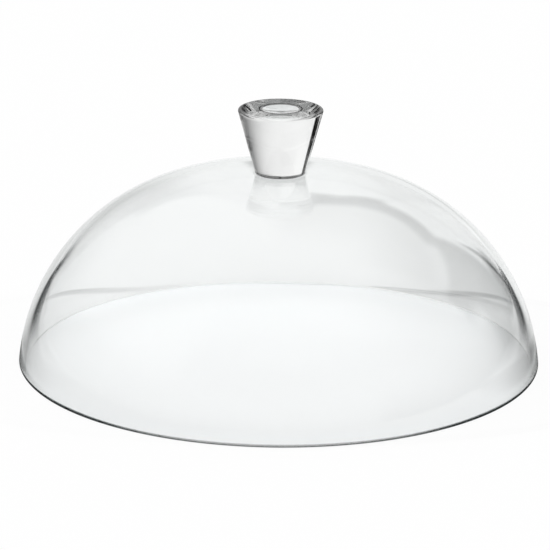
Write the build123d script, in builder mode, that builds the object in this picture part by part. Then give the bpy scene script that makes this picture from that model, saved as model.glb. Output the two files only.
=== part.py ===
# Clear glass cake dome: a shallow bell with a solid cone-shaped knob bonded to the top of its crown.
# Lengths are in millimetres and angles in degrees. +Z is up, and the origin is on the table, at the
# centre of the rim.

import os
from math import asin, atan2, cos, degrees, radians, sin, sqrt

from build123d import *

# Bell: two tangent arcs on the outside, and one even wall inside them
rim_diameter = 300.0  # outside, where the bell meets the table
rim_draft = 5.5  # lean of the wall at the rim, inwards from upright
shoulder_radius = 120.0  # arc from the rim up to the crown
crown_radius = 330.0  # flatter arc over the top, centred on the axis
wall_thickness = 4.0
rim_edge_radius = 1.2  # fire-polished corners on both sides of the ground rim

# Knob: solid pressed glass, widest at the top, with a thumb dimple
knob_top_diameter = 49.0  # before its edge is rounded
knob_base_diameter = 28.6  # before its edge is rounded
knob_height = 37.6
knob_top_edge_radius = 1.2
knob_base_edge_radius = 0.8
dimple_diameter = 23.0
dimple_depth = 2.0
dimple_edge_radius = 0.8

# Bond: clear adhesive between the knob and the seat that is ground flat for it on the crown
bond_thickness = 0.15

# Centres of the two arcs, and the angle at which the shoulder runs into the crown
shoulder_centre_x = rim_diameter / 2 - shoulder_radius * cos(radians(rim_draft))
shoulder_centre_z = -shoulder_radius * sin(radians(rim_draft))
crown_drop = sqrt((crown_radius - shoulder_radius) ** 2 - shoulder_centre_x**2)
crown_centre_z = shoulder_centre_z - crown_drop
tangent_angle = degrees(atan2(crown_drop, shoulder_centre_x))

# The inner shoulder stops at the table, a little above the foot of its own normal at the rim
inner_shoulder_radius = shoulder_radius - wall_thickness
inner_crown_radius = crown_radius - wall_thickness
inner_rim_angle = degrees(asin(-shoulder_centre_z / inner_shoulder_radius))

# The seat is as wide as the base of the knob, and the adhesive fills the flat of that base
seat_height = crown_centre_z + sqrt(crown_radius**2 - (knob_base_diameter / 2) ** 2)
bond_radius = knob_base_diameter / 2 - knob_base_edge_radius
knob_base_height = seat_height + bond_thickness
knob_top_height = knob_base_height + knob_height
dimple_sphere_radius = ((dimple_diameter / 2) ** 2 + dimple_depth**2) / (2 * dimple_depth)

os.makedirs("parts", exist_ok=True)

# Bell, turned from its wall section, with the seat ground flat on its crown
with BuildPart() as dome_shell:
    with BuildSketch(Plane.XZ):
        with BuildLine():
            shoulder_centre = (shoulder_centre_x, shoulder_centre_z)
            crown_centre = (0, crown_centre_z)
            outer_shoulder = CenterArc(
                shoulder_centre, shoulder_radius, rim_draft, tangent_angle - rim_draft
            )
            outer_crown = CenterArc(crown_centre, crown_radius, tangent_angle, 90 - tangent_angle)
            inner_shoulder = CenterArc(
                shoulder_centre, inner_shoulder_radius, inner_rim_angle, tangent_angle - inner_rim_angle
            )
            inner_crown = CenterArc(crown_centre, inner_crown_radius, tangent_angle, 90 - tangent_angle)
            Line(outer_crown @ 1, inner_crown @ 1)
            Line(inner_shoulder @ 0, outer_shoulder @ 0)
        make_face()
    revolve(axis=Axis.Z)
    rim_corners = dome_shell.edges().group_by(Axis.Z)[0]
    fillet(rim_corners, rim_edge_radius)
    split(bisect_by=Plane.XY.offset(seat_height), keep=Keep.BOTTOM)

# Film of adhesive on the seat
with BuildPart() as bond_film:
    with BuildSketch(Plane.XY.offset(seat_height)):
        Circle(bond_radius)
    extrude(amount=bond_thickness)

# Knob, turned as a plain cone, then dimpled and rounded
with BuildPart() as knob:
    with BuildSketch(Plane.XZ):
        with BuildLine():
            Polyline(
                (0, knob_base_height),
                (knob_base_diameter / 2, knob_base_height),
                (knob_top_diameter / 2, knob_top_height),
                (0, knob_top_height),
                close=True,
            )
        make_face()
    revolve(axis=Axis.Z)
    base_edge = knob.edges().filter_by(GeomType.CIRCLE).sort_by(Axis.Z)[0]
    fillet(base_edge, knob_base_edge_radius)
    top_edge = knob.edges().filter_by(GeomType.CIRCLE).sort_by(Axis.Z)[-1]
    fillet(top_edge, knob_top_edge_radius)
    with Locations((0, 0, knob_top_height - dimple_depth + dimple_sphere_radius)):
        Sphere(dimple_sphere_radius, mode=Mode.SUBTRACT)
    top_face = knob.faces().filter_by(GeomType.PLANE).sort_by(Axis.Z)[-1]
    dimple_edge = top_face.edges().sort_by(SortBy.LENGTH)[0]
    fillet(dimple_edge, dimple_edge_radius)

dome_shell.part.label = "dome_shell"
export_step(dome_shell.part, "parts/dome_shell.step")
bond_film.part.label = "bond_film"
export_step(bond_film.part, "parts/bond_film.step")
knob.part.label = "knob"
export_step(knob.part, "parts/knob.step")
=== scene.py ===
from collections import namedtuple
from math import acos, atan2, cos, pi, radians, sin, sqrt, tan

import bpy
from bpy.props import FloatProperty, FloatVectorProperty, IntProperty, PointerProperty
from mathutils import Matrix, Vector


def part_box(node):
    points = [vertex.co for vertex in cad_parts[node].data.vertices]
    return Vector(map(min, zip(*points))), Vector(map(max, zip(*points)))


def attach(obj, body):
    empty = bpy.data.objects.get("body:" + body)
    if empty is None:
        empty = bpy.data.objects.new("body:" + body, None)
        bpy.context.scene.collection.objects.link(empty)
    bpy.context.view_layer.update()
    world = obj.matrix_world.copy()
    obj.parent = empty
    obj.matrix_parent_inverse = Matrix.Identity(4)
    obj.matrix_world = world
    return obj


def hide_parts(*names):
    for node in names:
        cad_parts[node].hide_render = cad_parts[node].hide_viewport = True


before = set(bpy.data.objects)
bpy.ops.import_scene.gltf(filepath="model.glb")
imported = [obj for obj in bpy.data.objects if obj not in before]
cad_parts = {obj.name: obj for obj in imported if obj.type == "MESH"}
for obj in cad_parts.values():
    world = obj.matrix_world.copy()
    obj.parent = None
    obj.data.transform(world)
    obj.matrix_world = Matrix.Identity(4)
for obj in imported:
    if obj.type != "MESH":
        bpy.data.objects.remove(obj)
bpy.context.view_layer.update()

bl_info = {
    "name": "Glass Cake Dome",
    "version": (1, 0, 0),
    "blender": (4, 5, 0),
    "location": "View3D > Sidebar > Cake Dome",
    "description": "Clear glass cake dome with a bonded knob, standing on a white table",
    "category": "Add Mesh",
}

BODY = "root"
PICTURE_WIDTH = 550  # pixels, the picture that the focal length is given for
LATHE = "Turned Section"
WELD = 1e-7  # metres, closes the seam and the poles
CLEAR = 1e-5  # metres, keeps the bond's faces off the glass faces
TABLE_STEPS = 128  # steps in one turn of the table
SIGHT = 20.0  # metres, how far the camera sees
WHITE = (1.0, 1.0, 1.0)

# How often the renderer follows light from surface to surface.
BOUNCES = {"max_bounces": 32, "transmission_bounces": 32, "glossy_bounces": 16}

# Steps along each stretch of the sections.
STEPS = {
    "flat": 3,
    "crown": 16,
    "shoulder": 72,
    "rim edge": 10,
    "dimple": 16,
    "dimple edge": 6,
    "ring": 6,
    "top edge": 10,
    "side": 24,
    "foot edge": 8,
}

# Detail of the noise in the glass, and the values of noise between which a smear comes up.
SMEAR_DETAIL, RIPPLE_DETAIL = 3.0, 1.0
SMEAR_EDGE = (0.45, 0.75)

# Where each effect starts and where it is full, from 0, a surface met straight on, to 1, one met edge-on: the
# shade painted on the rim and on the knob's top, and the stand-in's shadow.
FACING = {
    "rim depth": (0.02, 0.3),
    "rim height": (0.15, 0.45),
    "knob end": (0.6, 0.85),
    "shade": (0.97, 0.75),
}

# Shade painted on the edges of the glass: the share of a band's height up to which it is full, and where the
# painted shade on the edges of the knob's top starts and where it is full, in radii of the edge's own
# rounding.
BAND_FULL = 0.7
TOP_FADE, LIP_FADE, END_FADE = (1.4, 1.0), (1.6, 1.1), (2.0, 1.5)

# A point of the table, as its material reads it. Its lengths are in radii of the rim: x to the right and y to
# the back from the middle of the dome, across to either side, reach in any direction, and the last stretch of
# the light's way.
Ground = namedtuple("Ground", "tree setup path x y across reach stretch")

# Soft edges of the shade, shadows and light painted on the table, as the glass shows it: where each starts
# and where it ends, in radii of the rim.
ZONES = {
    "halves": (-0.3, 0.3),
    "front to back": (-0.1, 0.1),
    "contact": (1.03, 1.09),
    "shadow front": (-0.6, -0.2),
    "shadow back": (0.45, 0.15),
    "shadow start": (1.0, 1.12),
    "sides back": (-0.4, 1.33),
    "mirror sides": (1.0, 1.23),
    "mirror sides end": (1.83, 1.43),
    "edge sides": (0.833, 1.067),
    "edge sides end": (4.0, 2.0),
    "off the middle": (0.4, 0.9),
    "far off": (3.3, 6.6),
    "flank": (0.0, 2.0),
    "right": (0.3, 0.75),
    "behind": (0.55, 0.8),
    "close behind": (0.95, 0.8),
    "line front": (0.813, 0.873),
    "line back": (0.937, 0.9),
    "line ends": (0.47, 0.93),
    "wall sides": (0.953, 1.053),
    "wall sides front": (-0.13, 0.33),
    "corner": (1.97, 2.1),
    "corner front": (1.27, 1.47),
    "corner end": (2.23, 2.13),
    "left end": (3.2, 2.6),
    "right end": (2.03, 1.87),
    "guided": (0.5, 0.7),
    "knob halves": (-0.1, 0.1),
    "knob behind": (-0.3, 0.3),
    "knob stretch": (0.27, 0.17),
    "knob front": (0.5, -0.5),
    "middle": (0.2, 0.85),
    "right half": (0.2, 0.65),
    "right half back": (-0.5, 0.2),
    "right edge": (0.8, 1.0),
    "ring inside": (0.24, 0.28),
    "ring outside": (0.47, 0.43),
    "glow": (-0.7, 0.9),
    "back halves": (-0.3, 0.6),
    "rim back": (0.3, 0.6),
    "rim front": (-0.1, -0.5),
    "inside rim": (0.82, 1.0),
}

# Slopes of the lines on the table that bound the shade painted on its sides: to the side, per length of way
# to the back.
SIDE_LEAN, END_LEAN, WALL_LEAN, CORNER_LEAN = 0.43, 0.6, 0.165, 0.57

# Where light starts its last stretch to the table, in radii of the rim: how far out in the wall, and
# how high in the knob.
WALL_REACH, KNOB_RISE = 0.97, 0.87

# From light straight out of the wall to light along it, as the cosine of its angle to straight out.
OUTWARD = (0.6, 0.45)

# From the near table to its far end, as the rim's radius over the distance from its middle.
FLANK_LEVEL, FAR_LEVEL = (0.4, 0.04), (0.083, 0.04)

GLOW_FRONT, GLOW_BACK = 0.8, 1.4  # shares of the glow at the front and at the back
LOST = (7.5, 10.0)  # ray depths between which light gets lost in the knob

# A card hung round the object, as its glass shows it. Angles are in degrees: the card's middle, from straight
# behind the object towards the right, then its half width, lower edge and upper edge, each with the softness
# of that edge.
Card = namedtuple("Card", "turn spread low high tone")
ROUND, BELOW, ABOVE = (200, 1), (-95, 1), (95, 1)  # edges out of sight

# Cards by the way their light comes to the camera. Each card hangs over the ones before it.
CARDS = {
    "mirrored": {
        "room": Card(0, ROUND, BELOW, ABOVE, 0.7),
        "upper walls": Card(0, ROUND, (34, 26), ABOVE, 0.9),
        "right foot": Card(95, (40, 8), BELOW, (8, 14), 0.12),
        "left softbox": Card(-68, (64, 6), (20, 10), (76, 12), 1.0),
        "left foot": Card(-45, (13, 6), BELOW, (9, 6), 0.6),
        "back left foot": Card(-25, (5, 1.5), BELOW, (4, 2), 0.0),
        "high card": Card(35, (36, 5), (37, 2), (62, 12), 0.6),
        "dark strip": Card(22, (20, 3), BELOW, (35.5, 1.5), 0.0),
        "right screen": Card(53, (19, 2), (17, 4), (31, 2), 0.0),
        "right screen foot": Card(47, (13, 3), BELOW, (19, 4), 0.0),
        "backdrop": Card(4, (29, 4), BELOW, (27, 1), 0.65),
        "right backdrop": Card(26, (10, 2), BELOW, (29, 1), 1.0),
        "lit backdrop": Card(4, (13, 5), BELOW, (27, 1), 0.9),
        "back right foot": Card(39.5, (11, 1.5), BELOW, (8, 3), 0.05),
        "knob flag": Card(0, (1.6, 0.6), (4, 1), (17, 1), 0.0),
    },
    "through one glass": {
        "room": Card(0, ROUND, BELOW, ABOVE, 0.9),
        "left rise": Card(-60, (40, 30), BELOW, ABOVE, 1.0),
        "right fall-off": Card(60, (40, 30), BELOW, ABOVE, 0.75),
        "right card": Card(50, (35, 10), (6.5, 5.5), (16, 3), 0.05),
        "left flag": Card(-55, (9.5, 1.5), (6.5, 1), (14, 1.5), 0.0),
        "high flag": Card(-86, (14, 4), (13, 3), (40, 4), 0.3),
    },
    "through both walls": {
        "room": Card(0, ROUND, BELOW, ABOVE, 0.9),
        "left foot": Card(-40, (28, 6), BELOW, (8, 4), 0.35),
        "right foot": Card(40, (28, 6), BELOW, (8, 4), 0.1),
    },
}


def length(name, description, default):
    """A size in metres."""
    return FloatProperty(name=name, description=description, default=default, unit="LENGTH", precision=5)


def angle(name, description, degrees):
    """An angle, given in degrees and kept in radians."""
    return FloatProperty(name=name, description=description, default=radians(degrees), subtype="ANGLE")


def amount(name, description, default):
    """A plain number."""
    return FloatProperty(name=name, description=description, default=default, precision=4)


def colour(name, description, default):
    """A linear colour."""
    return FloatVectorProperty(
        name=name, description=description, default=default, subtype="COLOR", min=0, max=1
    )


def steps(default):
    """Steps in one turn of the lathe."""
    return IntProperty(name="Turn Steps", description="Steps in one turn", default=default, min=32)


class BellSizes(bpy.types.PropertyGroup):
    """Sizes of the bell"""

    rim_diameter: length("Rim Diameter", "Across the outside, at the table", 0.3)
    rim_draft: angle("Rim Draft", "Lean of the wall at the rim, inwards from upright", 5.5)
    shoulder_radius: length("Shoulder Radius", "Outer arc from the rim up to the crown", 0.12)
    crown_radius: length("Crown Radius", "Outer, flatter arc over the top", 0.33)
    wall: length("Wall", "Thickness of the glass", 0.004)
    rim_edge: length("Rim Edge", "Radius of the polished corners of the rim", 0.0012)
    turn_steps: steps(256)


class KnobSizes(bpy.types.PropertyGroup):
    """Sizes of the knob"""

    top_diameter: length("Top Diameter", "Across the top, to the sharp corner", 0.049)
    base_diameter: length("Base Diameter", "Across the base, to the sharp corner", 0.0286)
    top_edge: length("Top Edge", "Radius of the rounding round the top", 0.0012)
    base_edge: length("Base Edge", "Radius of the rounding round the base", 0.0008)
    dimple_diameter: length("Dimple Diameter", "Across the thumb dimple in the top", 0.023)
    dimple_depth: length("Dimple Depth", "Depth of the thumb dimple", 0.002)
    dimple_edge: length("Dimple Edge", "Radius of the rounding round the dimple", 0.0008)
    turn_steps: steps(192)


class GlassFinish(bpy.types.PropertyGroup):
    """Finish of the glass and the bond"""

    ior: amount("Refraction", "Index of refraction of soda-lime glass", 1.52)
    depth_tint: colour("Depth Tint", "Colour that thick glass takes on", (0.55, 0.85, 0.80))
    depth_density: amount("Depth Density", "Strength of the depth tint, per metre", 6.0)
    # Painted shade along the rim's edge: its colour, the height of its band, its rise at the sides and its
    # strength where met straight on.
    rim_painted_shade: colour("Rim Tint", "Colour of light that enters at the rim's edge", (0.012, 0.015, 0.015))
    rim_band: length("Rim Band", "Height of the rim's dark edge", 0.0023)
    rim_rise: amount("Rim Rise", "Height of that edge at the sides, as a share of that in front", 1.25)
    rim_depth: amount("Rim Depth", "Strength of that edge where it is met straight on", 0.75)
    knob_tint: colour("Knob Tint", "Colour of light through the knob", (0.985, 0.99, 0.985))
    # Painted shade on the knob's edges: its colour, and the height of its band at the foot.
    knob_edge_shade: colour("Edge Tint", "Colour of light that enters at the knob's edges", (0.05, 0.05, 0.05))
    foot_band: length("Foot Band", "Height of the dark edge at the knob's foot", 0.0023)
    ripple_scale: amount("Ripple Scale", "Ripples of the pressed glass, per metre", 14.0)
    ripple_height: length("Ripple Height", "Height of the ripples", 0.00002)
    smear_scale: amount("Smear Scale", "Wiping smears, per metre", 30.0)
    smear_roughness: amount("Smear Roughness", "Roughness of the strongest smear", 0.03)
    bond_ior: amount("Bond Refraction", "Index of refraction of the bond", 1.01)


class StudioSetup(bpy.types.PropertyGroup):
    """Camera, table and light"""

    view_elevation: angle("View Elevation", "Height of the camera above level", 17.4)
    view_roll: angle("View Roll", "Turn of the camera about its line of sight", 0.45)
    view_distance: length("View Distance", "Along the line of sight, to the centre of the rim", 1.73848)
    rim_right: length("Rim Right", "Centre of the rim, right of the line of sight", 0.00211)
    rim_below: length("Rim Below", "Centre of the rim, below the line of sight", 0.04736)
    focal_pixels: amount("Focal Length", "Focal length, in pixels of the picture", 3000.0)
    table_radius: length("Table Radius", "Radius of the white table", 4.0)
    table_white: amount("Table White", "Share of plain white in the table as the camera sees it", 0.92)
    table_albedo: amount("Table Albedo", "Share of light that the table throws back", 0.9)
    glow: amount("Glow", "Light of the table under the dome, as the glass shows it", 0.1)
    glow_tint: colour("Glow Tint", "Colour of that light", (0.9, 0.96, 1.0))
    back_left: amount("Back Left", "More of that light along the back of the rim, on the left", 0.14)
    back_right: amount("Back Right", "More of that light along the back of the rim, on the right", 0.08)
    front_glow: amount("Front Glow", "More of that light along the front of the rim", 0.08)
    # Painted shade on the table under the dome, as the glass shows it: in its middle and on its right.
    middle_tone: amount("Middle Tone", "Tone of the middle of the table under the dome", 0.93)
    right_tone: amount("Right Tone", "Tone of the table under the dome, on the right", 0.95)
    # Painted shade on the table as the edges of the glass show it, and on its sides.
    edge_left: amount("Edge Left", "Tone of the table on the left, as the glass's edges show it", 0.58)
    edge_right: amount("Edge Right", "Tone of the table on the right, as the glass's edges show it", 0.85)
    edge_far: amount("Edge Far", "Tone of the table farther off, as the glass's edges show it", 0.85)
    side_tone: amount("Side Tone", "Tone of the dark sides of the table, as the glass shows them", 0.02)
    # Painted shade on the table in front, as the glass mirrors it.
    mirror_tone: amount("Mirror Tone", "Tone of the table in front, as the glass mirrors it", 0.78)
    # Painted shade on the table behind the dome, on the right and along a line across it, and painted light
    # close behind it.
    right_shade: amount("Right Shade", "Tone of the table behind the dome, on the right", 0.85)
    wedge_tone: amount("Wedge Tone", "Tone of the table close behind the dome", 1.07)
    line_tone: amount("Line Tone", "Tone of the line across the table behind the dome", 0.62)
    shadow_left: amount("Shadow Left", "Tone of the table left of the dome, beside the rim", 0.75)
    shadow_right: amount("Shadow Right", "Tone of the table right of the dome, beside the rim", 0.45)
    # Painted shade on the table under the dome, at its right edge.
    under_right: amount("Under Right", "Tone of the table under the dome, at its right edge", 0.75)
    # Painted contact shadow on the table where the rim stands, as the glass mirrors it.
    contact_tone: amount("Contact Tone", "Tone of the table where the rim stands on it", 0.1)
    knob_shade: amount("Knob Shade", "Tone of the table as the edges of the knob show it", 0.1)
    # Painted shade on the table as the knob's sides show it, darker on the right.
    grip_left: amount("Grip Left", "Tone of the table on the left, as the knob's sides show it", 0.5)
    grip_right: amount("Grip Right", "Tone of the table on the right, as the knob's sides show it", 0.05)
    lost_light: amount("Lost Light", "Share left of light thrown about many times in the knob", 0.05)
    dimple_shade: amount("Dimple Shade", "Tone of the table as the dimple of the knob shows it", 0.82)
    ring_shade: amount("Ring Shade", "Tone of the table as the flat ring of the knob shows it", 0.3)
    ambient: amount("Ambient", "Even light of the room on the table", 0.55)
    lamp_elevation: angle("Lamp Elevation", "Height of both lamps above level", 32.0)
    lamp_softness: angle("Lamp Softness", "Width of each lamp in the sky", 0.35)
    key_turn: angle("Key Turn", "Left lamp, from straight behind towards the right", -90.0)
    key_strength: amount("Key Strength", "Strength of the left lamp", 2.0)
    fill_turn: angle("Fill Turn", "Right lamp, from straight behind towards the right", 90.0)
    fill_strength: amount("Fill Strength", "Strength of the right lamp", 1.0)
    shade_clear: amount("Shade Clear", "Share of light that passes each face of the glass", 0.9)


def arc(centre, radius, start, end, count):
    """Points on an arc, from the start angle to the end angle, both included."""
    turns = [start + (end - start) * step / count for step in range(count + 1)]
    return [(centre[0] + radius * cos(turn), centre[1] + radius * sin(turn)) for turn in turns]


def run(start, end, count):
    """Points on a straight run, both ends included."""
    return [tuple(Vector(start).lerp(Vector(end), step / count)) for step in range(count + 1)]


def joined(*stretches):
    """One line through several stretches, with each shared end kept once."""
    line = list(stretches[0])
    for stretch in stretches[1:]:
        meets = (Vector(stretch[0]) - Vector(line[-1])).length < WELD
        line += stretch[1:] if meets else stretch
    return line


def bell_section(bell, seat_radius):
    """Section of the bell, from the top of the axis over the outside and back along the inside."""
    shoulder = (
        bell.rim_diameter / 2 - bell.shoulder_radius * cos(bell.rim_draft),
        -bell.shoulder_radius * sin(bell.rim_draft),
    )
    drop = sqrt((bell.crown_radius - bell.shoulder_radius) ** 2 - shoulder[0] ** 2)
    crown = (0.0, shoulder[1] - drop)
    tangent = atan2(drop, shoulder[0])
    inner_shoulder = bell.shoulder_radius - bell.wall
    inner_crown = bell.crown_radius - bell.wall
    seat_angle = acos(seat_radius / bell.crown_radius)
    seat = (seat_radius, crown[1] + bell.crown_radius * sin(seat_angle))
    edge = bell.rim_edge
    rise = edge - shoulder[1]
    outer_edge = (shoulder[0] + sqrt((bell.shoulder_radius - edge) ** 2 - rise**2), edge)
    inner_edge = (shoulder[0] + sqrt((inner_shoulder + edge) ** 2 - rise**2), edge)
    outer_touch = atan2(rise, outer_edge[0] - shoulder[0])
    inner_touch = atan2(rise, inner_edge[0] - shoulder[0])
    return joined(
        run((0.0, seat[1]), seat, STEPS["flat"]),
        arc(crown, bell.crown_radius, seat_angle, tangent, STEPS["crown"]),
        arc(shoulder, bell.shoulder_radius, tangent, outer_touch, STEPS["shoulder"]),
        arc(outer_edge, edge, outer_touch, -pi / 2, STEPS["rim edge"]),
        arc(inner_edge, edge, -pi / 2, inner_touch - pi, STEPS["rim edge"]),
        arc(shoulder, inner_shoulder, inner_touch, tangent, STEPS["shoulder"]),
        arc(crown, inner_crown, tangent, pi / 2, STEPS["crown"]),
    )


def knob_section(knob, base, top):
    """Section of the knob, from the bottom of its dimple over the top and down its side to the axis."""
    base_radius, top_radius = knob.base_diameter / 2, knob.top_diameter / 2
    lean = atan2(top_radius - base_radius, top - base)
    base_edge, top_edge, lip = knob.base_edge, knob.top_edge, knob.dimple_edge
    base_corner = (base_radius - base_edge * tan((pi / 2 - lean) / 2), base + base_edge)
    top_corner = (top_radius - top_edge * tan((pi / 2 + lean) / 2), top - top_edge)
    bowl = ((knob.dimple_diameter / 2) ** 2 + knob.dimple_depth**2) / (2 * knob.dimple_depth)
    bowl_centre = (0.0, top - knob.dimple_depth + bowl)
    fall = top - lip - bowl_centre[1]
    lip_corner = (sqrt((bowl + lip) ** 2 - fall**2), top - lip)
    lip_touch = atan2(fall, lip_corner[0])
    top_bend = arc(top_corner, top_edge, pi / 2, -lean, STEPS["top edge"])
    base_bend = arc(base_corner, base_edge, -lean, -pi / 2, STEPS["foot edge"])
    return joined(
        arc(bowl_centre, bowl, -pi / 2, lip_touch, STEPS["dimple"]),
        arc(lip_corner, lip, lip_touch + pi, pi / 2, STEPS["dimple edge"]),
        run((lip_corner[0], top), (top_corner[0], top), STEPS["ring"]),
        top_bend,
        run(top_bend[-1], base_bend[0], STEPS["side"]),
        base_bend,
        run((base_corner[0], base), (0.0, base), STEPS["flat"]),
    )


def add_node(tree, kind, feeds=None, **settings):
    """A new node. Each feed is a socket to link or a value to set, by input name or number."""
    made = tree.nodes.new(kind)
    for name, value in settings.items():
        setattr(made, name, value)
    for key, value in (feeds or {}).items():
        if isinstance(value, bpy.types.NodeSocket):
            tree.links.new(value, made.inputs[key])
        else:
            made.inputs[key].default_value = value
    return made


def calc(tree, operation, first, second=0.0, third=0.0):
    """Result of a Math node."""
    feeds = {0: first, 1: second, 2: third}
    return add_node(tree, "ShaderNodeMath", feeds, operation=operation).outputs[0]


def whole(tree, operation, first, second):
    """Result of an Integer Math node."""
    return add_node(tree, "FunctionNodeIntegerMath", {0: first, 1: second}, operation=operation).outputs[0]


def product(tree, first, *others):
    """Product of several values."""
    for other in others:
        first = calc(tree, "MULTIPLY", first, other)
    return first


def step_up(tree, value, start, end, low=0.0, high=1.0):
    """Smooth step from low at start to high at end."""
    feeds = {"Value": value, "From Min": start, "From Max": end, "To Min": low, "To Max": high}
    return add_node(tree, "ShaderNodeMapRange", feeds, interpolation_type="SMOOTHSTEP").outputs["Result"]


def mixed(tree, share, first, second):
    """Mix of two values, from the first at 0 to the second at 1."""
    feeds = {"Factor": share, "A": first, "B": second}
    return add_node(tree, "ShaderNodeMix", feeds, data_type="FLOAT").outputs["Result"]


def lathe_tree():
    """Node tree that turns a section line about the Z axis into a closed skin."""
    tree = bpy.data.node_groups.new(LATHE, "GeometryNodeTree")
    for name, kind in (
        ("Section", "NodeSocketGeometry"),
        ("Turn Steps", "NodeSocketInt"),
        ("Weld Distance", "NodeSocketFloat"),
        ("Material", "NodeSocketMaterial"),
    ):
        tree.interface.new_socket(name, in_out="INPUT", socket_type=kind)
    tree.interface.new_socket("Skin", in_out="OUTPUT", socket_type="NodeSocketGeometry")
    given = tree.nodes.new("NodeGroupInput").outputs
    points = add_node(
        tree, "GeometryNodeAttributeDomainSize", {"Geometry": given["Section"]}, component="MESH"
    )
    columns = whole(tree, "ADD", given["Turn Steps"], 1)
    grid = add_node(
        tree, "GeometryNodeMeshGrid", {"Vertices X": points.outputs["Point Count"], "Vertices Y": columns}
    )
    index = tree.nodes.new("GeometryNodeInputIndex").outputs[0]
    place = add_node(
        tree,
        "GeometryNodeSampleIndex",
        {
            "Geometry": given["Section"],
            "Value": tree.nodes.new("GeometryNodeInputPosition").outputs[0],
            "Index": whole(tree, "DIVIDE", index, columns),
        },
        data_type="FLOAT_VECTOR",
    )
    step = whole(tree, "MODULO", index, columns)
    turn = calc(tree, "MULTIPLY", calc(tree, "DIVIDE", step, given["Turn Steps"]), 2 * pi)
    turned = add_node(
        tree, "ShaderNodeVectorRotate", {"Vector": place.outputs[0], "Angle": turn}, rotation_type="Z_AXIS"
    )
    skin = add_node(
        tree, "GeometryNodeSetPosition", {"Geometry": grid.outputs["Mesh"], "Position": turned.outputs[0]}
    )
    skin = add_node(
        tree,
        "GeometryNodeMergeByDistance",
        {"Geometry": skin.outputs[0], "Distance": given["Weld Distance"]},
    )
    skin = add_node(tree, "GeometryNodeSetShadeSmooth", {"Geometry": skin.outputs[0]})
    skin = add_node(tree, "GeometryNodeRealizeInstances", {"Geometry": skin.outputs[0]})
    skin = add_node(
        tree, "GeometryNodeSetMaterial", {"Geometry": skin.outputs[0], "Material": given["Material"]}
    )
    add_node(tree, "NodeGroupOutput", {"Skin": skin.outputs[0]})
    return tree


def turned_piece(name, section, turn_steps, material):
    """A mesh object turned from a section line, at the origin."""
    line = bpy.data.meshes.new(name)
    line.from_pydata([(x, 0.0, z) for x, z in section], [(n, n + 1) for n in range(len(section) - 1)], [])
    piece = bpy.data.objects.new(name, line)
    bpy.context.scene.collection.objects.link(piece)
    lathe = piece.modifiers.new(LATHE, "NODES")
    lathe.node_group = bpy.data.node_groups.get(LATHE) or lathe_tree()
    sockets = {item.name: item.identifier for item in lathe.node_group.interface.items_tree}
    lathe[sockets["Turn Steps"]] = turn_steps
    lathe[sockets["Weld Distance"]] = WELD
    lathe[sockets["Material"]] = material
    shown = piece.evaluated_get(bpy.context.evaluated_depsgraph_get())
    piece.data = bpy.data.meshes.new_from_object(shown)
    piece.modifiers.clear()
    piece.data.materials.clear()
    piece.data.materials.append(material)
    piece.data.polygons.foreach_set("material_index", [0] * len(piece.data.polygons))
    return piece


def stand_for(piece, node):
    """Has a finished piece stand for a CAD node."""
    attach(piece, BODY)
    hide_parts(node)


def new_material(name):
    """An empty node material, with its tree and its output node."""
    material = bpy.data.materials.new(name)
    material.use_nodes = True
    material.node_tree.nodes.clear()
    return material, material.node_tree, material.node_tree.nodes.new("ShaderNodeOutputMaterial")


def object_place(tree):
    """Object coordinates."""
    return tree.nodes.new("ShaderNodeTexCoord").outputs["Object"]


def object_axes(tree):
    """Object coordinates, as X, Y and Z."""
    return add_node(tree, "ShaderNodeSeparateXYZ", {0: object_place(tree)}).outputs


def from_axis(tree, axes):
    """Distance from the Z axis."""
    across, along = product(tree, axes["X"], axes["X"]), product(tree, axes["Y"], axes["Y"])
    return calc(tree, "SQRT", calc(tree, "ADD", across, along))


def edge_on(tree):
    """0 where light meets a surface straight on, and 1 where it meets it edge-on."""
    return add_node(tree, "ShaderNodeLayerWeight", {"Blend": 0.5}).outputs["Facing"]


def grey(tree, tone):
    """A grey of the given tone."""
    return add_node(tree, "ShaderNodeCombineXYZ", {0: tone, 1: tone, 2: tone}).outputs[0]


def noise(tree, place, scale, detail):
    """Plain noise."""
    feeds = {"Vector": place, "Scale": scale, "Detail": detail}
    return add_node(tree, "ShaderNodeTexNoise", feeds).outputs["Fac"]


def clear_glass(name, finish, tint, ior):
    """Clear glass with faint ripples and wiping smears."""
    material, tree, output = new_material(name)
    place = object_place(tree)
    smears = noise(tree, place, finish.smear_scale, SMEAR_DETAIL)
    ripples = noise(tree, place, finish.ripple_scale, RIPPLE_DETAIL)
    feeds = {"Height": ripples, "Distance": finish.ripple_height, "Strength": 1.0}
    glass = add_node(
        tree,
        "ShaderNodeBsdfPrincipled",
        {
            "Base Color": (*tint, 1.0),
            "Roughness": step_up(tree, smears, *SMEAR_EDGE, 0.0, finish.smear_roughness),
            "IOR": ior,
            "Transmission Weight": 1.0,
            "Normal": add_node(tree, "ShaderNodeBump", feeds).outputs["Normal"],
        },
    )
    tree.links.new(glass.outputs[0], output.inputs["Surface"])
    return material


def paint_shade_on_glass(tree, share, clear, dark):
    """Paints shade into the base colour of a glass material where its faces are met from outside, from clear
    at 0 to dark at 1.
    """
    entering = calc(tree, "SUBTRACT", 1.0, tree.nodes.new("ShaderNodeNewGeometry").outputs["Backfacing"])
    feeds = {"Factor": product(tree, share, entering), "A": (*clear, 1.0), "B": (*dark, 1.0)}
    tint = add_node(tree, "ShaderNodeMix", feeds, data_type="RGBA")
    tree.links.new(tint.outputs["Result"], tree.nodes["Principled BSDF"].inputs["Base Color"])


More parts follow.
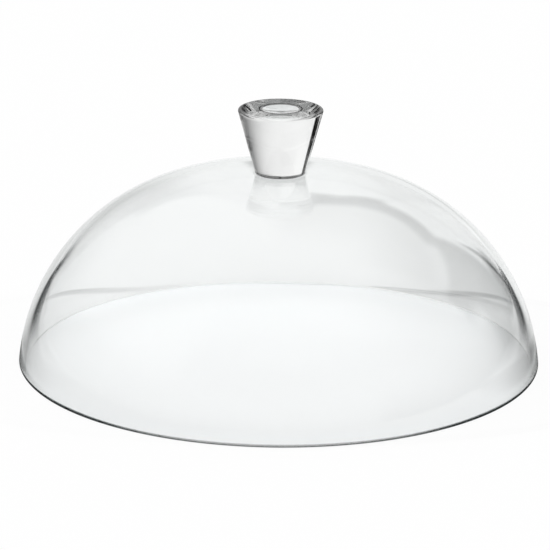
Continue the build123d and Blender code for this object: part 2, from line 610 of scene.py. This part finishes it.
def bell_glass(finish, bell):
    """Glass of the bell, green where it is thick, with painted shade along the edge of its rim."""
    material = clear_glass("bell_glass", finish, WHITE, finish.ior)
    tree = material.node_tree
    axes = object_axes(tree)
    # Painted shade: a dark band at the bottom of the rim's outside, taller and stronger where the rim is met
    # edge-on.
    outside = calc(tree, "GREATER_THAN", from_axis(tree, axes), bell.rim_diameter / 2 - bell.wall / 2)
    facing = edge_on(tree)
    depth = step_up(tree, facing, *FACING["rim depth"], finish.rim_depth, 1.0)
    height = step_up(tree, facing, *FACING["rim height"], finish.rim_band, finish.rim_rise * finish.rim_band)
    low = step_up(tree, axes["Z"], height, product(tree, height, BAND_FULL))
    paint_shade_on_glass(tree, product(tree, low, outside, depth), WHITE, finish.rim_painted_shade)
    feeds = {"Color": (*finish.depth_tint, 1.0), "Density": finish.depth_density}
    thick = add_node(tree, "ShaderNodeVolumeAbsorption", feeds)
    tree.links.new(thick.outputs[0], tree.nodes["Material Output"].inputs["Volume"])
    return material


def knob_glass(finish, knob, base, top):
    """Glass of the knob, with painted shade on its rounded edges at its foot, round its dimple and where its
    top ends.
    """
    material = clear_glass("grip_glass", finish, finish.knob_tint, finish.ior)
    tree = material.node_tree
    axes = object_axes(tree)
    reach = from_axis(tree, axes)
    # Painted shade: dark bands at the knob's foot, round the lip of its dimple, and at the outer edge of its
    # top where that is met edge-on.
    foot = step_up(tree, axes["Z"], base + finish.foot_band, base + finish.foot_band * BAND_FULL)
    upper = step_up(tree, axes["Z"], *(top - share * knob.top_edge for share in TOP_FADE))
    off_lip = calc(tree, "ABSOLUTE", calc(tree, "SUBTRACT", reach, knob.dimple_diameter / 2))
    lip = step_up(tree, off_lip, *(share * knob.dimple_edge for share in LIP_FADE))
    end = step_up(tree, reach, *(knob.top_diameter / 2 - share * knob.top_edge for share in END_FADE))
    end = product(tree, end, step_up(tree, edge_on(tree), *FACING["knob end"]))
    dark = product(tree, upper, calc(tree, "MAXIMUM", lip, end))
    paint_shade_on_glass(tree, calc(tree, "MAXIMUM", foot, dark), finish.knob_tint, finish.knob_edge_shade)
    return material


def at_least(tree, depth, count):
    """1 where a depth of the light's path is the count or more, and 0 elsewhere."""
    return calc(tree, "GREATER_THAN", depth, count - 0.5)


def in_glass(tree, path):
    """1 for light that glass shows, and 0 for other light."""
    return calc(tree, "MAXIMUM", path["Is Glossy Ray"], path["Is Transmission Ray"])


def ground_at(tree, setup, rim):
    """The point of the table that light comes from."""
    path = tree.nodes.new("ShaderNodeLightPath").outputs
    axes = object_axes(tree)
    lengths = (axes["X"], axes["Y"], from_axis(tree, axes), path["Ray Length"])
    x, y, reach, stretch = (calc(tree, "DIVIDE", size, rim) for size in lengths)
    return Ground(tree, setup, path, x, y, calc(tree, "ABSOLUTE", x), reach, stretch)


def zone(ground, value, name, low=0.0, high=1.0):
    """A soft edge on the table, from low where it starts to high where it ends."""
    return step_up(ground.tree, value, *ZONES[name], low, high)


def beside(ground, lean):
    """Distance from the middle to either side, past lines that lean outwards towards the back."""
    return calc(ground.tree, "SUBTRACT", ground.across, product(ground.tree, ground.y, lean))


def sideways(ground):
    """1 where light comes along the wall of the dome and not straight out of it, by its last stretch."""
    tree, reach, stretch = ground.tree, ground.reach, ground.stretch
    squares = calc(tree, "SUBTRACT", product(tree, reach, reach), product(tree, stretch, stretch))
    squares = calc(tree, "SUBTRACT", squares, WALL_REACH**2)
    outward = calc(tree, "DIVIDE", squares, product(tree, stretch, 2 * WALL_REACH))
    return step_up(tree, outward, *OUTWARD)


def far_end(ground):
    """Tone of the far end of the table: that of the cards behind it, so that the glass shows no horizon."""
    turn = calc(ground.tree, "ARCTAN2", ground.x, ground.y)
    return hung_cards(ground.tree, CARDS["mirrored"], turn, 0.0)


def beside_rim(ground):
    """Tone of the soft shadow of the dome on the table to its left and right."""
    shadow = product(
        ground.tree,
        zone(ground, ground.y, "shadow front"),
        zone(ground, ground.y, "shadow back"),
        zone(ground, ground.across, "shadow start"),
    )
    tone = zone(ground, ground.x, "halves", ground.setup.shadow_left, ground.setup.shadow_right)
    return mixed(ground.tree, shadow, 1.0, tone)


def from_knob(ground):
    """Tone of the table round the dome as the sides of the knob show it, by the last stretch of the light:
    painted shade, darker on the right.
    """
    tree, setup, path = ground.tree, ground.setup, ground.path
    apart = calc(tree, "ADD", product(tree, ground.reach, ground.reach), KNOB_RISE**2)
    apart = calc(tree, "SUBTRACT", calc(tree, "SQRT", apart), ground.stretch)
    near = zone(ground, calc(tree, "ABSOLUTE", apart), "knob stretch")
    crossed = at_least(tree, path["Transmission Depth"], 1)
    side = product(tree, ground.x, mixed(tree, crossed, 1.0, -1.0))
    left = mixed(tree, crossed, setup.grip_left, 1.0)
    tone = zone(ground, side, "knob halves", left, setup.grip_right)
    tossed = at_least(tree, path["Ray Depth"], 3)
    shown = mixed(tree, crossed, zone(ground, ground.y, "knob behind"), tossed)
    return mixed(tree, product(tree, shown, near), 1.0, tone)


def dark_sides(ground, tone, start, end):
    """A tone with painted shade on the sides of the table, between two zones past leaning lines."""
    sides = product(
        ground.tree,
        zone(ground, beside(ground, SIDE_LEAN), start),
        zone(ground, beside(ground, END_LEAN), end),
        zone(ground, ground.y, "sides back"),
    )
    return mixed(ground.tree, sides, tone, ground.setup.side_tone)


def in_mirror(ground):
    """Tone of the table round the dome as the outside of the glass mirrors it, with painted shade in front
    and on the sides, and a painted contact shadow at the rim.
    """
    tone = zone(ground, ground.y, "front to back", ground.setup.mirror_tone, 1.0)
    tone = dark_sides(ground, tone, "mirror sides", "mirror sides end")
    contact = zone(ground, ground.reach, "contact", ground.setup.contact_tone, 1.0)
    return product(ground.tree, tone, contact)


def through_edge(ground):
    """Tone of the table round the dome as the edges of the glass show it, with painted shade that darkens
    those edges.
    """
    tree, setup = ground.tree, ground.setup
    tone = zone(ground, ground.x, "halves", setup.edge_left, setup.edge_right)
    tone = mixed(tree, zone(ground, ground.reach, "far off"), tone, setup.edge_far)
    tone = mixed(tree, zone(ground, ground.across, "off the middle"), 1.0, tone)
    return dark_sides(ground, tone, "edge sides", "edge sides end")


def through_walls(ground):
    """Tone of the table round the dome as light through both walls shows it, with painted shade on the right,
    along a line behind the dome and on the sides, and painted light close behind it.
    """
    tree, setup, x, y, across = ground.tree, ground.setup, ground.x, ground.y, ground.across
    right = product(tree, zone(ground, x, "right"), zone(ground, y, "behind"))
    tone = mixed(tree, right, 1.0, setup.right_shade)
    tone = product(tree, tone, zone(ground, y, "close behind", 1.0, setup.wedge_tone))
    line = product(tree, zone(ground, y, "line front"), zone(ground, y, "line back"))
    line = product(tree, line, zone(ground, across, "line ends"))
    tone = product(tree, tone, mixed(tree, line, 1.0, setup.line_tone))
    corner = calc(tree, "ADD", x, product(tree, y, CORNER_LEAN))
    turned = product(tree, zone(ground, corner, "corner"), zone(ground, y, "corner front"))
    sides = calc(tree, "MAXIMUM", zone(ground, beside(ground, WALL_LEAN), "wall sides"), turned)
    sides = product(tree, sides, zone(ground, corner, "corner end"))
    on_right = calc(tree, "GREATER_THAN", x, 0.0)
    ends = mixed(tree, on_right, zone(ground, y, "left end"), zone(ground, y, "right end"))
    sides = product(tree, sides, ends, zone(ground, y, "wall sides front"), sideways(ground))
    tone = mixed(tree, sides, tone, setup.side_tone)
    guided = at_least(tree, ground.path["Ray Depth"], 6)
    guided = product(tree, guided, zone(ground, across, "guided"))
    return mixed(tree, guided, tone, setup.side_tone)


def tone_outside(ground):
    """Tone of the table round the dome, with its painted shade, shadows and reflections, by the glass that
    the light comes through.
    """
    tree, bends = ground.tree, ground.path["Transmission Depth"]
    tone = mixed(tree, at_least(tree, bends, 1), in_mirror(ground), through_edge(ground))
    tone = product(tree, tone, beside_rim(ground))
    level = calc(tree, "DIVIDE", 1.0, ground.reach)
    flank = zone(ground, calc(tree, "SUBTRACT", ground.across, ground.y), "flank")
    flank = product(tree, flank, step_up(tree, level, *FLANK_LEVEL))
    far = calc(tree, "MAXIMUM", flank, step_up(tree, level, *FAR_LEVEL))
    tone = product(tree, mixed(tree, far, tone, far_end(ground)), from_knob(ground))
    tone = mixed(tree, at_least(tree, bends, 3), tone, through_walls(ground))
    knob = product(tree, at_least(tree, bends, 5), zone(ground, ground.y, "knob front"))
    return mixed(tree, knob, tone, ground.setup.knob_shade)


def tone_under(ground):
    """Tone of the table under the dome: white, with painted shade in its middle, on its right and where the
    knob shows it.
    """
    tree, setup, path, reach = ground.tree, ground.setup, ground.path, ground.reach
    tone = zone(ground, reach, "middle", setup.middle_tone, 1.0)
    right = product(tree, zone(ground, ground.x, "right half"), zone(ground, ground.y, "right half back"))
    tone = product(tree, tone, mixed(tree, right, 1.0, setup.right_tone))
    tone = product(tree, tone, zone(ground, ground.x, "right edge", 1.0, setup.under_right))
    through = at_least(tree, path["Transmission Depth"], 3)
    ring = product(tree, zone(ground, reach, "ring inside"), zone(ground, reach, "ring outside"))
    tone = mixed(tree, through, tone, mixed(tree, ring, setup.dimple_shade, setup.ring_shade))
    mirrored = at_least(tree, path["Glossy Depth"], 1)
    mirrored = product(tree, mirrored, path["Is Transmission Ray"], calc(tree, "SUBTRACT", 1.0, through))
    return mixed(tree, mirrored, tone, setup.knob_shade)


def glow_under(ground):
    """Light of the table under the dome, with more of it along the back and the front of the rim."""
    tree, setup, y = ground.tree, ground.setup, ground.y
    glow = zone(ground, y, "glow", GLOW_FRONT * setup.glow, GLOW_BACK * setup.glow)
    back = zone(ground, ground.x, "back halves", setup.back_left, setup.back_right)
    back = product(tree, back, zone(ground, y, "rim back"))
    front = zone(ground, y, "rim front", 0.0, setup.front_glow)
    edge = product(tree, calc(tree, "ADD", back, front), zone(ground, ground.reach, "inside rim"))
    return calc(tree, "ADD", glow, edge)


def white_table(setup, rim):
    """White table. The camera sees it nearly plain white; the glass shows it with painted shade, shadows and
    reflections, and with a painted glow under the dome, by the way the light comes.
    """
    material, tree, output = new_material("white_table")
    ground = ground_at(tree, setup, rim)
    outside = calc(tree, "GREATER_THAN", ground.reach, 1.0)
    glass = in_glass(tree, ground.path)
    under = tone_under(ground)
    tone = mixed(tree, outside, under, tone_outside(ground))
    white = product(tree, ground.path["Is Camera Ray"], setup.table_white)
    rest = calc(tree, "SUBTRACT", 1.0, white)
    tone = product(tree, mixed(tree, glass, 1.0, tone), rest, setup.table_albedo)
    matt = add_node(tree, "ShaderNodeBsdfDiffuse", {"Color": grey(tree, tone)})
    inside = calc(tree, "SUBTRACT", 1.0, outside)
    glow = product(tree, glass, inside, under, glow_under(ground))
    lit = add_node(tree, "ShaderNodeEmission", {"Color": (*setup.glow_tint, 1.0), "Strength": glow})
    plain = add_node(tree, "ShaderNodeEmission", {"Color": (*WHITE, 1.0), "Strength": white})
    both = add_node(tree, "ShaderNodeAddShader", {0: lit.outputs[0], 1: plain.outputs[0]})
    both = add_node(tree, "ShaderNodeAddShader", {0: matt.outputs[0], 1: both.outputs[0]})
    tree.links.new(both.outputs[0], output.inputs["Surface"])
    return material


def glass_shade(setup):
    """Clear shade, dark where the glass is met edge-on, for the shadow on the table."""
    material, tree, output = new_material("glass_shade")
    clear = step_up(tree, edge_on(tree), *FACING["shade"], 0.0, setup.shade_clear)
    shade = add_node(tree, "ShaderNodeBsdfTransparent", {"Color": grey(tree, clear)})
    tree.links.new(shade.outputs[0], output.inputs["Surface"])
    return material


def cast_shade(piece, material):
    """A stand-in that casts the soft shadow of a glass piece, in place of the piece's own."""
    stand_in = bpy.data.objects.new(piece.name + "_shade", piece.data.copy())
    stand_in.data.materials.clear()
    stand_in.data.materials.append(material)
    bpy.context.scene.collection.objects.link(stand_in)
    for way in ("camera", "diffuse", "glossy", "transmission", "volume_scatter"):
        setattr(stand_in, "visible_" + way, False)
    piece.visible_shadow = False


def card_cover(tree, card, turn, rise):
    """1 where a card hangs, and 0 elsewhere."""
    aside = calc(tree, "WRAP", calc(tree, "SUBTRACT", turn, radians(card.turn)), pi, -pi)
    aside = calc(tree, "ABSOLUTE", aside)
    (half, side), (low, foot), (high, head) = card.spread, card.low, card.high
    across = step_up(tree, aside, radians(half + side), radians(half - side))
    above = step_up(tree, rise, radians(low - foot), radians(low + foot))
    below = step_up(tree, rise, radians(high + head), radians(high - head))
    return product(tree, across, above, below)


def hung_cards(tree, cards, turn, rise):
    """Tone of the cards in a direction."""
    tone = 0.0
    for name, card in cards.items():
        tone = mixed(tree, card_cover(tree, card, turn, rise), tone, card.tone)
        tone.node.label = name
    return tone


def surround(setup):
    """World: white for the camera, even light for the table, and the cards for the glass."""
    world = bpy.data.worlds.new("studio_surround")
    world.use_nodes = True
    tree = world.node_tree
    tree.nodes.clear()
    direction = tree.nodes.new("ShaderNodeTexCoord").outputs["Generated"]
    axes = add_node(tree, "ShaderNodeSeparateXYZ", {0: direction}).outputs
    turn = calc(tree, "ARCTAN2", axes["X"], axes["Y"])
    rise = calc(tree, "ARCSINE", axes["Z"])
    path = tree.nodes.new("ShaderNodeLightPath").outputs
    bends = path["Transmission Depth"]
    straight = calc(tree, "SUBTRACT", 1.0, at_least(tree, path["Ray Depth"], 4))
    one_glass = product(tree, straight, at_least(tree, bends, 2))
    both_walls = at_least(tree, bends, 3)
    tone = hung_cards(tree, CARDS["mirrored"], turn, rise)
    tone = product(tree, tone, step_up(tree, path["Ray Depth"], *LOST, 1.0, setup.lost_light))
    tone = mixed(tree, one_glass, tone, hung_cards(tree, CARDS["through one glass"], turn, rise))
    tone = mixed(tree, both_walls, tone, hung_cards(tree, CARDS["through both walls"], turn, rise))
    tone = mixed(tree, in_glass(tree, path), setup.ambient, tone)
    tone = calc(tree, "MAXIMUM", tone, path["Is Camera Ray"])
    background = add_node(tree, "ShaderNodeBackground", {"Color": (*WHITE, 1.0), "Strength": tone})
    output = tree.nodes.new("ShaderNodeOutputWorld")
    tree.links.new(background.outputs[0], output.inputs["Surface"])
    return world


def lamp(name, setup, turn, strength):
    """A far lamp that lights the table and stays out of sight in the glass."""
    light = bpy.data.lights.new(name, "SUN")
    light.energy = strength
    light.angle = setup.lamp_softness
    rig = bpy.data.objects.new(name, light)
    bpy.context.scene.collection.objects.link(rig)
    level = cos(setup.lamp_elevation)
    away = Vector((sin(turn) * level, cos(turn) * level, sin(setup.lamp_elevation)))
    rig.matrix_world = Matrix.Translation(away) @ away.to_track_quat("Z", "Y").to_matrix().to_4x4()
    rig.visible_glossy = False
    rig.visible_transmission = False


def camera(setup):
    """Camera at the photograph's viewing angle."""
    tilt, roll = setup.view_elevation, setup.view_roll
    forward = Vector((0.0, cos(tilt), -sin(tilt)))
    level, plumb = Vector((1.0, 0.0, 0.0)), Vector((0.0, -sin(tilt), -cos(tilt)))
    right = level * cos(roll) - plumb * sin(roll)
    down = level * sin(roll) + plumb * cos(roll)
    lens = bpy.data.cameras.new("view")
    lens.lens = setup.focal_pixels / PICTURE_WIDTH * lens.sensor_width
    lens.clip_end = SIGHT
    view = bpy.data.objects.new("view", lens)
    bpy.context.scene.collection.objects.link(view)
    place = -(right * setup.rim_right + down * setup.rim_below + forward * setup.view_distance)
    view.matrix_world = Matrix.Translation(place) @ Matrix((right, -down, -forward)).transposed().to_4x4()
    return view


class CAKE_OT_bell(bpy.types.Operator):
    """Add the glass bell, with the flat seat for the knob on its crown"""

    bl_idname = "cake_dome.bell"
    bl_label = "Add Bell"

    def execute(self, context):
        bell, finish = context.scene.cake_bell, context.scene.cake_glass
        section = bell_section(bell, context.scene.cake_knob.base_diameter / 2)
        piece = turned_piece("glass_bell", section, bell.turn_steps, bell_glass(finish, bell))
        stand_for(piece, "dome_shell")
        return {"FINISHED"}


class CAKE_OT_bond(bpy.types.Operator):
    """Add the clear bond film between the bell and the knob"""

    bl_idname = "cake_dome.bond"
    bl_label = "Add Bond"

    def execute(self, context):
        finish = context.scene.cake_glass
        low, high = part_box("bond_film")
        base, top, radius = low.z + CLEAR, high.z - CLEAR, high.x
        section = [(0.0, top), (radius, top), (radius, base), (0.0, base)]
        resin = clear_glass("bond_resin", finish, WHITE, finish.bond_ior)
        piece = turned_piece("clear_bond", section, context.scene.cake_knob.turn_steps, resin)
        piece.visible_shadow = False
        stand_for(piece, "bond_film")
        return {"FINISHED"}


class CAKE_OT_knob(bpy.types.Operator):
    """Add the solid glass knob, with the thumb dimple in its top"""

    bl_idname = "cake_dome.knob"
    bl_label = "Add Knob"

    def execute(self, context):
        knob, finish = context.scene.cake_knob, context.scene.cake_glass
        low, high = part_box("knob")
        material = knob_glass(finish, knob, low.z, high.z)
        piece = turned_piece("glass_knob", knob_section(knob, low.z, high.z), knob.turn_steps, material)
        stand_for(piece, "knob")
        return {"FINISHED"}


class CAKE_OT_studio(bpy.types.Operator):
    """Set up the white table, the light and the camera round the finished dome"""

    bl_idname = "cake_dome.studio"
    bl_label = "Set Up Studio"

    def execute(self, context):
        scene = context.scene
        setup = scene.cake_studio
        white = white_table(setup, scene.cake_bell.rim_diameter / 2)
        table = turned_piece("table", [(0.0, 0.0), (setup.table_radius, 0.0)], TABLE_STEPS, white)
        shade = glass_shade(setup)
        for name in ("glass_bell", "glass_knob"):
            cast_shade(scene.objects[name], shade)
        scene.world = surround(setup)
        lamp("key_lamp", setup, setup.key_turn, setup.key_strength)
        lamp("fill_lamp", setup, setup.fill_turn, setup.fill_strength)
        scene.camera = camera(setup)
        scene.view_settings.view_transform = "Standard"
        for name, count in BOUNCES.items():
            setattr(scene.cycles, name, count)
        return {"FINISHED"}


class CAKE_PT_dome(bpy.types.Panel):
    """Steps and settings of the cake dome"""

    bl_idname = "CAKE_PT_dome"
    bl_label = "Cake Dome"
    bl_space_type = "VIEW_3D"
    bl_region_type = "UI"
    bl_category = "Cake Dome"

    def draw(self, context):
        for operator in OPERATORS:
            self.layout.operator(operator.bl_idname)
        for name in GROUPS:
            group = getattr(context.scene, name)
            box = self.layout.box()
            for setting in group.__annotations__:
                box.prop(group, setting)


GROUPS = {
    "cake_bell": BellSizes,
    "cake_knob": KnobSizes,
    "cake_glass": GlassFinish,
    "cake_studio": StudioSetup,
}
OPERATORS = (CAKE_OT_bell, CAKE_OT_bond, CAKE_OT_knob, CAKE_OT_studio)


def register():
    """Registers the classes and gives each scene its settings."""
    for kind in (*GROUPS.values(), *OPERATORS, CAKE_PT_dome):
        bpy.utils.register_class(kind)
    for name, group in GROUPS.items():
        setattr(bpy.types.Scene, name, PointerProperty(type=group))


def unregister():
    """Takes the settings and the classes away again."""
    for name in GROUPS:
        delattr(bpy.types.Scene, name)
    for kind in reversed((*GROUPS.values(), *OPERATORS, CAKE_PT_dome)):
        bpy.utils.unregister_class(kind)


def main():
    """Builds the dome and its studio."""
    register()
    bpy.ops.cake_dome.bell()
    bpy.ops.cake_dome.bond()
    bpy.ops.cake_dome.knob()
    bpy.ops.cake_dome.studio()


if __name__ == "__main__":
    main()
